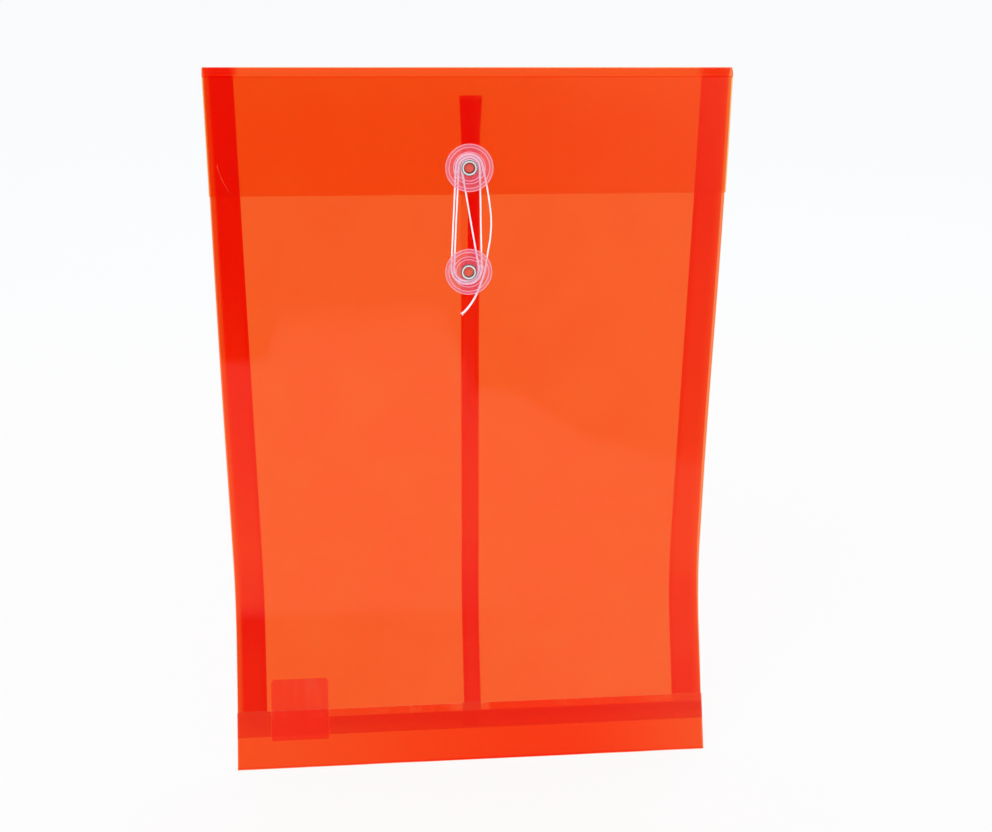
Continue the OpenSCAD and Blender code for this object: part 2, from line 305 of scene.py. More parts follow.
def eased_range(nodes, links, value, start, end, low, high):
    """Goes smoothly from low to high as value goes from start to end."""
    node = nodes.new("ShaderNodeMapRange")
    node.interpolation_type = "SMOOTHSTEP"
    for key, number in (("From Min", start), ("From Max", end), ("To Min", low), ("To Max", high)):
        node.inputs[key].default_value = number
    links.new(value, node.inputs["Value"])
    return node.outputs["Result"]


def object_axes(nodes, links):
    """The X, Y and Z outputs of the object's own coordinates."""
    place = nodes.new("ShaderNodeTexCoord")
    axes = nodes.new("ShaderNodeSeparateXYZ")
    links.new(place.outputs["Object"], axes.inputs[0])
    return axes.outputs


def bump(nodes, links, value, strength, distance):
    node = nodes.new("ShaderNodeBump")
    node.inputs["Strength"].default_value = strength
    node.inputs["Distance"].default_value = distance
    links.new(value, node.inputs["Height"])
    return node.outputs["Normal"]


def sheen_share(nodes, links, head_on, edge_on):
    """Share of gloss that grows towards the edge of sight."""
    weight = nodes.new("ShaderNodeLayerWeight")
    steep = math_node(nodes, links, "POWER", weight.outputs["Facing"], 5.0)
    steep = math_node(nodes, links, "MULTIPLY", steep, edge_on)
    return math_node(nodes, links, "ADD", steep, head_on)


FILM_GLOW = (1.0, 0.01, 0.002)
FILM_MOTTLE = 0.03
FILM_SCATTER = 0.04
FILM_GLOSS = (0.014, 0.35)
REAR_GLOSS = (0.004, 0.2)
CREASE_GLOSS = (0.004, 0.1)
FOOT_GLOSS = (0.009, 0.25)


def film(name, clear, dense=None, gloss_shares=FILM_GLOSS, scatter=FILM_SCATTER, glow=FILM_GLOW):
    """Translucent sheet: each face lets the tint clear through, or dense where the mesh says so, and on the
    flap, the gussets and the seam that share also holds painted highlight and reflection.
    """
    material, nodes, links, out = new_material(name)
    mottle = noise(nodes, links, 45.0)
    if dense is None:
        red, green, blue = clear
        thick, thin = [(red, share * green, share * blue) for share in (1 - FILM_MOTTLE, 1 + FILM_MOTTLE)]
        tint = ramp(nodes, links, mottle, thick, thin)
    else:
        told = nodes.new("ShaderNodeAttribute")
        told.attribute_name = "film_depth_and_painted_light"
        spread = math_node(nodes, links, "MULTIPLY_ADD", mottle, 0.08)
        spread.node.inputs[2].default_value = -0.04
        share = math_node(nodes, links, "ADD", told.outputs["Fac"], spread)
        share.node.use_clamp = True
        tint = ramp(nodes, links, share, clear, dense)
    through = nodes.new("ShaderNodeBsdfTransparent")
    links.new(tint, through.inputs["Color"])
    front = shader(nodes, "ShaderNodeBsdfDiffuse", Color=(*glow, 1))
    behind = shader(nodes, "ShaderNodeBsdfTranslucent", Color=(*glow, 1))
    milky = mix(nodes, links, 0.5, front.outputs[0], behind.outputs[0])
    body = mix(nodes, links, scatter, through.outputs[0], milky)
    gloss = shader(nodes, "ShaderNodeBsdfGlossy", Color=(1, 1, 1, 1), Roughness=0.1)
    links.new(bump(nodes, links, noise(nodes, links, 2600.0), 0.25, 0.00002), gloss.inputs["Normal"])
    share = sheen_share(nodes, links, *gloss_shares)
    links.new(mix(nodes, links, share, body, gloss.outputs[0]), out.inputs["Surface"])
    return material


def clear_plastic(name, milk):
    """Moulded clear plastic with a share of milky white in it."""
    material, nodes, links, out = new_material(name)
    through = shader(nodes, "ShaderNodeBsdfTransparent", Color=(1.0, 0.95, 0.97, 1))
    white = nodes.new("ShaderNodeBsdfPrincipled")
    pale = ramp(nodes, links, noise(nodes, links, 300.0), (0.90, 0.54, 0.74), (0.94, 0.62, 0.82))
    links.new(pale, white.inputs["Base Color"])
    white.inputs["Roughness"].default_value = 0.12
    glow = shader(nodes, "ShaderNodeBsdfTranslucent", Color=(0.95, 0.6, 0.8, 1))
    cloud = mix(nodes, links, 0.35, white.outputs[0], glow.outputs[0])
    body = mix(nodes, links, milk, through.outputs[0], cloud)
    gloss = shader(nodes, "ShaderNodeBsdfGlossy", Color=(1, 1, 1, 1), Roughness=0.06)
    share = sheen_share(nodes, links, 0.02, 0.5)
    links.new(mix(nodes, links, share, body, gloss.outputs[0]), out.inputs["Surface"])
    return material


def nickel(name, low, high):
    material, nodes, links, out = new_material(name)
    metal = nodes.new("ShaderNodeBsdfPrincipled")
    tone = ramp(nodes, links, noise(nodes, links, 700.0, 4.0), low, high)
    links.new(tone, metal.inputs["Base Color"])
    metal.inputs["Metallic"].default_value = 0.4
    metal.inputs["Roughness"].default_value = 0.25
    links.new(bump(nodes, links, noise(nodes, links, 5000.0), 0.1, 0.00001), metal.inputs["Normal"])
    links.new(metal.outputs[0], out.inputs["Surface"])
    return material


def cotton(name):
    material, nodes, links, out = new_material(name)
    yarn = nodes.new("ShaderNodeBsdfPrincipled")
    fibre = noise(nodes, links, 4000.0, 4.0)
    links.new(ramp(nodes, links, fibre, (0.88, 0.81, 0.87), (0.98, 0.93, 0.97)), yarn.inputs["Base Color"])
    yarn.inputs["Roughness"].default_value = 0.85
    yarn.inputs["Sheen Weight"].default_value = 0.3
    links.new(bump(nodes, links, fibre, 0.5, 0.00008), yarn.inputs["Normal"])
    links.new(yarn.outputs[0], out.inputs["Surface"])
    return material


def paper(name):
    material, nodes, links, out = new_material(name)
    face = nodes.new("ShaderNodeBsdfPrincipled")
    fibre = noise(nodes, links, 900.0, 5.0)
    links.new(ramp(nodes, links, fibre, (0.9, 0.89, 0.93), (0.95, 0.94, 0.98)), face.inputs["Base Color"])
    face.inputs["Roughness"].default_value = 0.7
    links.new(bump(nodes, links, fibre, 0.2, 0.00004), face.inputs["Normal"])
    glow = shader(nodes, "ShaderNodeBsdfTranslucent", Color=(0.93, 0.92, 0.98, 1))
    through = shader(nodes, "ShaderNodeBsdfTransparent", Color=(1, 0.8, 1, 1))
    body = mix(nodes, links, 0.7, face.outputs[0], glow.outputs[0])
    links.new(mix(nodes, links, 0.55, body, through.outputs[0]), out.inputs["Surface"])
    return material


BODY_TINT = (1.0, 0.606, 0.390)
BODY_FILM = film("film_body", BODY_TINT)
REAR_FILM = film("film_rear", BODY_TINT, gloss_shares=REAR_GLOSS)
FLAP_FILM = film("film_flap", (1.0, 0.82, 0.547), (1.0, 0.78, 0.50))
CREASE_FILM = film("film_crease", (1.0, 0.573, 0.353), (0.985, 0.256, 0.1125), CREASE_GLOSS)
BOTTOM_FILM = film("film_bottom", (1.0, 0.512, 0.333), (1.0, 0.353, 0.133), FOOT_GLOSS)
GUSSET_FILM = film("film_gusset", (1.0, 0.92, 0.857), (0.985, 0.502, 0.34))
SEAM_FILM = film("film_seam", (1.0, 0.838, 0.65), (0.95, 0.0943, 0.089))
WELD_FILM = film("film_weld", (1.0, 0.922, 0.985), (0.93, 0.555, 0.817))
MARK_FILM = film("film_mark", (1.0, 0.85, 0.75), scatter=0.35, glow=(1.0, 0.3, 0.2))
# Painted light: a pale, strongly scattering disc in each eyelet's bore that stands for light shining through
# the hole
BORE_PAINTED_LIGHT_FILM = film("painted_light_bore", (1.0, 0.6, 0.4), scatter=0.9, glow=(1.0, 0.24, 0.18))
GLUE_FILM = film("label_glue", (1.0, 0.61, 0.97), gloss_shares=REAR_GLOSS, scatter=0.02)
DISC_CLEAR_PLASTIC = clear_plastic("disc_clear", 0.10)
DISC_BAND_PLASTIC = clear_plastic("disc_band", 0.27)
DISC_RING_PLASTIC = clear_plastic("disc_ring", 0.75)
WASHER_PLASTIC = clear_plastic("washer_clear", 0.06)
NICKEL = nickel("nickel", (0.88, 0.96, 0.97), (0.95, 1.0, 1.0))
# Painted shade: a dark nickel for the edges of each eyelet's flange and the top of its bore
NICKEL_PAINTED_SHADE = nickel("nickel_painted_shade", (0.07, 0.1, 0.12), (0.14, 0.18, 0.2))
COTTON = cotton("string_cotton")
PAPER = paper("label_paper")


# Mesh building
def new_piece(name, vertices, faces, materials, nodes, slot, body=None, sharp=40):
    """A closed mesh piece that stands for CAD nodes and, when it is given a body, rides on it."""
    mesh = bpy.data.meshes.new(name)
    mesh.from_pydata([tuple(v) for v in vertices], [], [tuple(f) for f in faces])
    work = bmesh.new()
    work.from_mesh(mesh)
    bmesh.ops.recalc_face_normals(work, faces=work.faces)
    work.to_mesh(mesh)
    work.free()
    mesh.shade_smooth()
    mesh.set_sharp_from_angle(angle=math.radians(sharp))
    for material in materials:
        mesh.materials.append(material)
    piece = bpy.data.objects.new(name, mesh)
    scene.collection.objects.link(piece)
    if body:
        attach(piece, body)
    if nodes:
        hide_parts(*nodes)
    return piece


def lines(low, high, step, extra=()):
    """Grid lines from low to high, about step apart, with extra lines put in."""
    even = np.linspace(low, high, max(2, round((high - low) / step) + 1))
    inside = [v for v in extra if low < v < high]
    near = step / 5
    kept = [v for v in even if all(abs(v - e) > near for e in inside) or v in (even[0], even[-1])]
    return np.array(sorted(kept + inside))


def slab(x, s, low, high, hole=None):
    """Vertices and faces of a sheet on a grid of x and s, between two heights, with a round hole if asked.

    Gives the vertices, the faces and each vertex's own x and s."""
    x, s = x.copy(), s.copy()
    rows, columns = x.shape
    kept = np.ones((rows - 1, columns - 1), bool)
    if hole:
        hole_x, hole_s, hole_r = hole
        mid_x = (x[1:, 1:] + x[:-1, :-1]) / 2
        mid_s = (s[1:, 1:] + s[:-1, :-1]) / 2
        kept = np.hypot(mid_x - hole_x, mid_s - hole_s) > hole_r
        inside, outside = np.zeros(x.shape, bool), np.zeros(x.shape, bool)
        for i, j in ((0, 0), (0, 1), (1, 0), (1, 1)):
            part = np.s_[i:rows - 1 + i, j:columns - 1 + j]
            inside[part] |= ~kept
            outside[part] |= kept
        rim = inside & outside
        away = np.hypot(x[rim] - hole_x, s[rim] - hole_s)
        x[rim] = hole_x + (x[rim] - hole_x) * hole_r / away
        s[rim] = hole_s + (s[rim] - hole_s) * hole_r / away
    index = np.arange(x.size).reshape(x.shape)
    cells = np.stack([index[:-1, :-1], index[:-1, 1:], index[1:, 1:], index[1:, :-1]], -1)[kept]
    edges = set()
    for cell in cells.tolist():
        edges |= set(zip(cell, cell[1:] + cell[:1]))
    border = sorted(e for e in edges if (e[1], e[0]) not in edges)
    used = np.unique(cells)
    number = np.full(x.size, -1)
    number[used] = np.arange(len(used))
    count = len(used)
    faces = number[cells].tolist()
    faces += (number[cells][:, ::-1] + count).tolist()
    faces += [[number[b], number[a], number[a] + count, number[b] + count] for a, b in border]
    flat_x, flat_s = x.ravel()[used], s.ravel()[used]
    n_low, n_high = (np.broadcast_to(v(x, s), x.shape).ravel()[used] for v in (low, high))
    vertices = np.concatenate([in_space(flat_x, flat_s, n_high), in_space(flat_x, flat_s, n_low)])
    return vertices, faces, np.tile(flat_x, 2), np.tile(flat_s, 2)


def layer(n, open_share):
    """The two heights of a sheet whose rear face is at n, in front of the pocket or behind it."""
    return (lambda x, s: n + open_share * gap(s)), (lambda x, s: n + SHEET_T + open_share * gap(s))


# Grid of the panels: its steps, and its lines round a hole in shares of the hole's radius
GRID_X = 0.006
GRID_S = 0.005
ROUND_HOLE = np.linspace(-1.5, 1.5, 13)


def panel(name, x0, x1, s0, s1, heights, material, node, body, hole=None):
    """One flat or bent sheet with even grid lines, closer over the bend and round a hole."""
    across, up = [], []
    if hole:
        fine = ROUND_HOLE * hole[2]
        across, up = list(hole[0] + fine), list(hole[1] + fine)
    x = lines(x0, x1, GRID_X, across)
    s = lines(s0, s1, GRID_S, up + list(np.arange(FOOT_LEN, BEND_END, GRID_S / 2)))
    grid_x, grid_s = np.meshgrid(x, s)
    vertices, faces, _, _ = slab(grid_x, grid_s, *heights, hole)
    return new_piece(name, vertices, faces, [material], [node], "sheet", body)


def tell_density_and_painted_light(piece, values):
    """Writes how dense the sheet is drawn at each vertex, from 0 to 1, with painted highlight and reflection
    in it on the flap, the gussets and the seam.
    """
    data = piece.data.attributes.new("film_depth_and_painted_light", "FLOAT", "POINT")
    data.data.foreach_set("value", np.clip(values, 0, 1).astype(np.float32))


def strip(path, t):
    """Closed outline of a strip of thickness t along a path in a plane."""
    way = np.gradient(path, axis=0)
    way /= np.linalg.norm(way, axis=1)[:, None]
    aside = np.stack([-way[:, 1], way[:, 0]], 1) * t / 2
    return np.concatenate([path + aside, (path - aside)[::-1]])


def loft_sides(count, size):
    """Vertex numbers of count rings of size points, and the faces between neighbouring rings."""
    index = np.arange(count * size).reshape(count, size)
    turned = np.roll(index, -1, 1)
    faces = np.stack([index[:-1], turned[:-1], turned[1:], index[1:]], -1)
    return index, faces.reshape(-1, 4).tolist()


def strip_loft(rings):
    """Vertices and faces through a row of strip outlines, with both ends closed."""
    rings = np.asarray(rings)
    count, size = rings.shape[:2]
    index, faces = loft_sides(count, size)
    for ring in (index[0], index[-1]):
        for i in range(size // 2 - 1):
            faces.append([ring[i], ring[i + 1], ring[size - 2 - i], ring[size - 1 - i]])
    return rings.reshape(-1, 3), faces


def tube_loft(rings):
    """Vertices and faces through a row of round rings, with both ends closed."""
    rings = np.asarray(rings)
    index, faces = loft_sides(*rings.shape[:2])
    return rings.reshape(-1, 3), faces + [index[0].tolist(), index[-1][::-1].tolist()]


# Sheets
EDGE_X = HALF_W - SHEET_T
panel("rear_sheet", -EDGE_X, EDGE_X, FOLD_R, CREASE_S, layer(0, 0), REAR_FILM, "back_panel", "back")
flap_sheet = panel(
    "flap_sheet", -HALF_W, HALF_W, FLAP_EDGE_S, FLAP_TOP_S, layer(FLAP_N, 1), FLAP_FILM,
    "closing_flap", "flap", (BUTTON_X, UPPER_S, HOLE_R),
)
panel(
    "left_front_sheet", -EDGE_X, SEAM_EDGE_X, PANEL_S, MOUTH_S, layer(PANEL_N, 1), BODY_FILM,
    "left_front_panel", "front", (BUTTON_X, LOWER_S, HOLE_R),
)
panel(
    "right_front_sheet", SEAM_EDGE_X, EDGE_X, PANEL_S, MOUTH_S, layer(PANEL_N, 1), BODY_FILM,
    "right_front_panel", "front",
)
bottom_flap = panel(
    "bottom_flap_sheet", -HALF_W, HALF_W, FOLD_R, BOTTOM_FLAP_H, layer(BOTTOM_FLAP_N, 0), BOTTOM_FILM,
    "bottom_flap", "back",
)


def across_strip(name, path, material, node, body=None):
    """A folded strip that runs across the whole width, from a path of (s, n) points."""
    outline = strip(np.asarray(path), SHEET_T)
    rings = [in_space(x, outline[:, 0], outline[:, 1]) for x in lines(-HALF_W, HALF_W, 0.004)]
    return new_piece(name, *strip_loft(rings), [material], [node], "sheet", body)


HALF_TURN = np.linspace(0, math.pi, 25)


def crease_path():
    r = CREASE_R - SHEET_T / 2
    arc = [(CREASE_S + r * math.sin(a), CREASE_R - r * math.cos(a)) for a in HALF_TURN]
    return arc + [(FLAP_TOP_S, CREASE_R + r)]


def fold_path():
    r = FOLD_R - SHEET_T / 2
    return [(FOLD_R - r * math.sin(a), FOLD_R - r * math.cos(a)) for a in HALF_TURN]


# Where the film of the crease, the foot and the flap is dense, and where the flap pales in a painted
# highlight towards its crease
CREASE_END = 0.0145
CREASE_EDGE = 0.002
CREASE_LEFT, CREASE_RIGHT = 0.85, 0.44
FOOT_DARK_X = 0.047
FOOT_FADE_LEFT, FOOT_FADE_RIGHT = 0.165, 0.085
FLAP_HIGHLIGHT_FADE = 0.022


def crease_depth(x):
    """Darker where the ends of the gussets stand under the crease, more so on the left."""
    inward = HALF_W - np.abs(x)
    edge = 0.5 + 0.5 * smooth((inward - CREASE_EDGE) / CREASE_EDGE)
    return np.where(x < 0, CREASE_LEFT, CREASE_RIGHT) * edge * smooth((CREASE_END - inward) / 0.001)


def foot_depth(x):
    """Darker to the right of the middle and paling to both ends."""
    away = np.abs(x - FOOT_DARK_X) / np.where(x < FOOT_DARK_X, FOOT_FADE_LEFT, FOOT_FADE_RIGHT)
    return smooth(1 - away)


def flap_depth_and_crease_highlight(z):
    """Paler towards the top crease, a painted highlight where the sheet curves over into it."""
    return smooth((in_space(0, FLAP_TOP_S, FLAP_N)[2] - z) / FLAP_HIGHLIGHT_FADE)


def places(piece, axis):
    """Where a piece's vertices are along one axis."""
    return np.array([v.co[axis] for v in piece.data.vertices])


tell_density_and_painted_light(flap_sheet, flap_depth_and_crease_highlight(places(flap_sheet, 2)))
crease = across_strip("top_crease", crease_path(), CREASE_FILM, "flap_crease")
tell_density_and_painted_light(crease, crease_depth(places(crease, 0)))
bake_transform(crease)
foot_fold = across_strip("foot_fold", fold_path(), BOTTOM_FILM, "bottom_fold", "back")
for piece in (bottom_flap, foot_fold):
    tell_density_and_painted_light(piece, foot_depth(places(piece, 0)))


# Gusset leaves
TURN_R = (LEAF_CLEAR + SHEET_T) / 2
FOLD_ARC = np.linspace(-math.pi / 2, -3 * math.pi / 2, 9)
TURN_ARC = np.linspace(-math.pi / 2, 0, 6)
LEAF_STEPS = np.linspace(0, 1, 15)[1:]
PRESSED_W = 0.0023
PLEAT_EXTRA = 0.0002
PLEAT_TAPER = 0.0017


def gusset_depth(s):
    """Depth of the pleat, which is a little less where the pocket stands open."""
    up = np.clip((s - BOTTOM_FLAP_H) / (MOUTH_S - BOTTOM_FLAP_H), 0, 1)
    return GUSSET_DEPTH + PLEAT_EXTRA - PLEAT_TAPER * up


def leaf_path(s, forward):
    """Section of the left rear or front leaf, as (x, n): edge fold, leaf and half of the inner fold."""
    middle = SHEET_T + gap(s) / 2
    edge = np.stack([-EDGE_X + SHEET_T / 2 * np.cos(FOLD_ARC), SHEET_T + SHEET_T / 2 * np.sin(FOLD_ARC)], 1)
    inner_x = -HALF_W + gusset_depth(s) - TURN_R
    x = -EDGE_X + (inner_x + EDGE_X) * LEAF_STEPS
    rise = middle - TURN_R - 1.5 * SHEET_T
    leaf = np.stack([x, 1.5 * SHEET_T + rise * smooth(LEAF_STEPS)], 1)
    turn = np.stack([inner_x + TURN_R * np.cos(TURN_ARC), middle + TURN_R * np.sin(TURN_ARC)], 1)
    path = np.concatenate([edge, leaf, turn[1:]])
    if forward:
        path[:, 1] = 2 * middle - path[:, 1]
    return path


class LeafTone(NamedTuple):
    """How dense one side's leaves are drawn, by the height s and the distance in from the outer edge; the
    paling from the top down to the bend is painted reflection.
    """

    rise_s: tuple
    rise: tuple
    bent: float
    step_s: float
    foot: float
    foot_change: float
    foot_s: float
    foot_fade: float
    under_flap: float
    band: float
    band_start: float
    band_fade: float


BENT_S = 0.116
BENT_LEN = 0.0325
LEAST_TONE = 0.225
LEAF_TONES = {
    -1: LeafTone(
        rise_s=(BENT_S, 0.15, 0.18, 0.216, 0.27), rise=(0.2, 0.43, 0.575, 0.7, 1.0), bent=0.3, step_s=0.0835,
        foot=0.98, foot_change=-0.28, foot_s=0.08, foot_fade=0.03, under_flap=0.0,
        band=0.08, band_start=0.002, band_fade=0.0013),
    1: LeafTone(
        rise_s=(BENT_S, 0.296), rise=(0.04, 0.48), bent=0.15, step_s=0.0928,
        foot=0.34, foot_change=0.22, foot_s=0.055, foot_fade=0.015, under_flap=-0.3,
        band=0.1, band_start=0.0, band_fade=0.0045),
}


def leaf_density(x, s, side):
    """Light outer band, pressed inner fold, paling down to the bend in painted reflection and dark again
    below it.
    """
    tone = LEAF_TONES[side]
    inward = HALF_W - np.abs(x)
    # Painted reflection: the leaves pale from the top down to the bend
    upper = np.interp(s, tone.rise_s, tone.rise)
    foot = tone.foot + tone.foot_change * smooth((tone.foot_s - s) / tone.foot_fade)
    band = tone.band + (1 - tone.band) * smooth((inward - tone.band_start) / tone.band_fade)
    bent = upper + np.clip((BENT_S - s) / BENT_LEN, 0, 1) * tone.bent
    told = bent + (foot - bent) * smooth((tone.step_s - s) / 0.003 + 0.5)
    told = told * (1 + tone.under_flap * smooth((s - FLAP_EDGE_S) / 0.012))
    from_fold = gusset_depth(s) - inward
    pressed = 0.08 * smooth((PRESSED_W - from_fold) / 0.0005)
    pressed += 0.12 * np.exp(-(((from_fold - PRESSED_W / 2) / 0.0005) ** 2))
    return band * (LEAST_TONE + (1 - LEAST_TONE) * told) + pressed


def leaf(name, side, forward, node):
    """One leaf of a pleat, baked into the frame and attached to no body."""
    start_s = PANEL_S if forward else BOTTOM_FLAP_H
    rows = lines(start_s, MOUTH_S, 0.004, [*np.arange(FOOT_LEN, BEND_END, 0.002)])
    rings, density = [], []
    for s in rows:
        outline = strip(leaf_path(s, forward), SHEET_T)
        x = outline[:, 0] * -side
        rings.append(in_space(x, s, outline[:, 1]))
        density.append(leaf_density(x, s, side))
    piece = new_piece(name, *strip_loft(rings), [GUSSET_FILM], [node], "gusset")
    tell_density_and_painted_light(piece, np.concatenate(density))
    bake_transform(piece)


for side, word in ((-1, "left"), (1, "right")):
    leaf(f"{word}_rear_leaf", side, False, f"{word}_rear_gusset")
    leaf(f"{word}_front_leaf", side, True, f"{word}_front_gusset")


# Seam strip with the rungs of its weld
RUNG_PITCH = 0.00127
RUNG_HALF_W = 0.0030
RUNG_H = 0.00006
# Stretch between the buttons where the strip's left half is drawn pale, and the edge of that half
PALE_HALF_S = (0.2700, 0.3030)
PALE_HALF_X = -0.0013
CAP_H = 0.0016
RUNG_TOP_S = 0.262
RUNG_FADE = 0.02
SEAM_DENSE = 0.96
SEAM_EDGE = 0.14
SEAM_MIDDLE_W = 0.0012
# Painted reflection down the strip, as (share, start, length): paler below each start, darker again over the
# bend where the share is negative
SEAM_PAINTED_REFLECTION = [(0.18, RUNG_TOP_S, RUNG_FADE), (0.16, 0.225, 0.09), (-0.11, 0.11, 0.02)]


def seam_half_width(s):
    flare = np.clip((s - SEAM_TOP_S + SEAM_FLARE) / SEAM_FLARE, 0, 1)
    return (SEAM_W + (SEAM_END_W - SEAM_W) * flare) / 2


def seam_mid(s):
    """Middle of the strip, which wanders a little on its way up."""
    return SEAM_X + np.interp(s, (0.045, 0.118, 0.222, 0.33), (0.0004, 0.0007, 0.00015, 0.0))


def rungs(x, s):
    """Height of the weld's rungs across the middle of the strip, from 0 to 1."""
    across = smooth((RUNG_HALF_W - np.abs(x - seam_mid(s))) / 0.0008)
    return across * (0.5 + 0.5 * np.cos(2 * math.pi * s / RUNG_PITCH))


def seam_density(x, s):
    """Dark strip: paler rungs, soft edges, a pale left half between the buttons, a pale cap at its end, and
    painted reflection that pales it on the way down.
    """
    u = np.abs(x - seam_mid(s)) / seam_half_width(s)
    edges = smooth((1.02 - u) / SEAM_EDGE)
    pale_left_half = (x < PALE_HALF_X) & (s > PALE_HALF_S[0]) & (s < PALE_HALF_S[1])
    cap = smooth((s - SEAM_TOP_S + CAP_H + SEAM_CROWN) / 0.0004)
    middle = np.exp(-(((x - seam_mid(s)) / SEAM_MIDDLE_W) ** 2))
    lower = smooth((RUNG_TOP_S - s) / RUNG_FADE)
    # Painted reflection: paler down the middle of the strip, darker again over the bend
    pale = sum(share * smooth((start - s) / length) for share, start, length in SEAM_PAINTED_REFLECTION)
    value = SEAM_DENSE - pale - 0.17 * rungs(x, s) * lower + 0.04 * middle * lower - 0.25 * cap
    return np.where(pale_left_half, 0.05, edges * value)


def make_seam():
    fine_s = ROUND_HOLE * HOLE_R + LOWER_S
    fine_u = np.linspace(-1, 1, 9) * 0.56 - 0.15
    share = lines(-1, 1, 0.09, [(PALE_HALF_X - SEAM_X) / (SEAM_W / 2), *fine_u])
    rows = lines(PANEL_S, SEAM_TOP_S, RUNG_PITCH / 4, [*fine_s, *PALE_HALF_S])
    grid_u, grid_s = np.meshgrid(share, rows)
    grid_x = seam_mid(grid_s) + grid_u * seam_half_width(grid_s)
    drop = SEAM_CROWN * grid_u**2 * smooth((grid_s - SEAM_TOP_S + 0.006) / 0.006)
    low, flat = layer(SEAM_N, 1)
    hole = (BUTTON_X, LOWER_S, HOLE_R)
    vertices, faces, x, s = slab(
        grid_x, grid_s - drop, low, lambda x, s: flat(x, s) + RUNG_H * rungs(x, s), hole)
    piece = new_piece("seam_strip", vertices, faces, [SEAM_FILM], ["centre_seam"], "weld", "front")
    tell_density_and_painted_light(piece, seam_density(x, s))


make_seam()


# Welded ends of the front panels, with upright ribs
RIB_PITCH = 0.0015
RIB_H = 0.00012
RIB_S = (0.0166, 0.0252)
RIB_EDGE = 0.0006
WELD_EDGE = 0.0005


def ribs(x, s):
    """Depth of the ribs pressed into the weld, from 0 to 1."""
    inside = smooth((s - RIB_S[0]) / RIB_EDGE) * smooth((RIB_S[1] - s) / RIB_EDGE)
    return inside * (0.5 + 0.5 * np.cos(2 * math.pi * x / RIB_PITCH))


def between(value, low, high, edge):
    """1 from low to high, easing to 0 over an edge outside them."""
    return smooth((value - low) / edge + 1) * smooth((high - value) / edge + 1)


def weld_density(x, s):
    """Dark ribbed band, pale over the label, with the ends of the gussets and the seam in it."""
    darker_up = 0.72 + 0.28 * smooth((s - 0.0185) / 0.004)
    band = between(s, *RIB_S, WELD_EDGE) * darker_up * (1 - 0.24 * ribs(x, s))
    left = -HALF_W + LABEL_INSET
    labelled = between(x, left, left + LABEL_W, RIB_EDGE)
    darker_up = 0.6 + 0.2 * smooth((s - WELD_START) / 0.01)
    beside = between(s, WELD_START, BOTTOM_FLAP_H, WELD_EDGE) * darker_up
    beside = beside * (0.75 + 0.25 * smooth((x + HALF_W) / 0.008))
    band = np.where(x < left, beside, band)
    pleated = smooth((np.abs(x) - HALF_W + GUSSET_DEPTH) / 0.001)
    gussets = 0.4 * pleated * smooth((s - RIB_S[0] + 0.001) / 0.003)
    seamed = between(x, SEAM_X - SEAM_W / 2, SEAM_X + SEAM_W / 2, 0.0004)
    seam_end = 0.9 * seamed * smooth((s - RIB_S[0]) / 0.001)
    return np.maximum(np.maximum(band * (1 - 0.95 * labelled), gussets), seam_end)


def make_weld():
    rows = lines(WELD_START, BOTTOM_FLAP_H, 0.0004)
    grid_x, grid_s = np.meshgrid(lines(-HALF_W, HALF_W, RIB_PITCH / 5), rows)
    vertices, faces, x, s = slab(
        grid_x, grid_s,
        lambda x, s: SHEET_T + RIB_H * ribs(x, s), lambda x, s: BOTTOM_FLAP_N - RIB_H * ribs(x, s))
    piece = new_piece("weld_band", vertices, faces, [WELD_FILM], ["bottom_weld"], "weld", "back")
    tell_density_and_painted_light(piece, weld_density(x, s))


make_weld()


# Label on the back
def make_label():
    """Rounded plate on the rear face: rows whose width narrows at the corners."""
    s = LABEL_RISE + lines(0, LABEL_H, 0.0015, [LABEL_CORNER * (1 - math.cos(a)) for a in HALF_TURN[1:12]])
    from_end = np.clip(np.minimum(s - LABEL_RISE, LABEL_RISE + LABEL_H - s), 0, LABEL_CORNER)
    inset = LABEL_CORNER - np.sqrt(np.maximum(LABEL_CORNER**2 - (LABEL_CORNER - from_end) ** 2, 0))
    share = np.linspace(0, 1, 21)
    left = -HALF_W + LABEL_INSET
    grid_x = left + inset[:, None] + share * (LABEL_W - 2 * inset[:, None])
    grid_s = np.repeat(s[:, None], len(share), 1)
    vertices, faces, _, _ = slab(grid_x, grid_s, lambda x, s: -LABEL_T, lambda x, s: 0.0)
    piece = new_piece("label_paper", vertices, faces, [PAPER, GLUE_FILM], ["rear_label"], "label", "back")
    glued = (len(s) - 1) * (len(share) - 1)
    piece.data.polygons.foreach_set("material_index", (np.arange(len(faces)) < glued).astype(np.int32))


make_label()


# Buttons
LATHE_STEPS = 96


def lathe(name, profile, s, n, materials, node, slot, body, bands=None):
    """A closed (r, out) profile turned about a button's axis, with a material number for each side."""
    r, out = np.asarray(profile).T
    centre = in_space(BUTTON_X, s, n)
    angles = np.linspace(0, 2 * math.pi, LATHE_STEPS, endpoint=False)
    rings = [centre + np.stack([r * math.cos(a), -out, r * math.sin(a)], 1) for a in angles]
    index = np.arange(LATHE_STEPS * len(profile)).reshape(LATHE_STEPS, -1)
    after = np.roll(index, -1, 0)
    faces = np.stack([index, np.roll(index, -1, 1), np.roll(after, -1, 1), after], -1)
    faces = faces.reshape(-1, 4).tolist()
    piece = new_piece(name, np.concatenate(rings), faces, materials, [node] if node else [], slot, body)
    if bands is not None:
        piece.data.polygons.foreach_set("material_index", np.tile(bands, LATHE_STEPS).astype(np.int32))
    return piece


def arch(r0, r1, base, height, count=9):
    """Half an ellipse from r0 to r1 that rises by height above base."""
    turn = np.linspace(0, math.pi, count)
    return [((r0 + r1) / 2 + (r0 - r1) / 2 * math.cos(a), base + height * math.sin(a)) for a in turn]


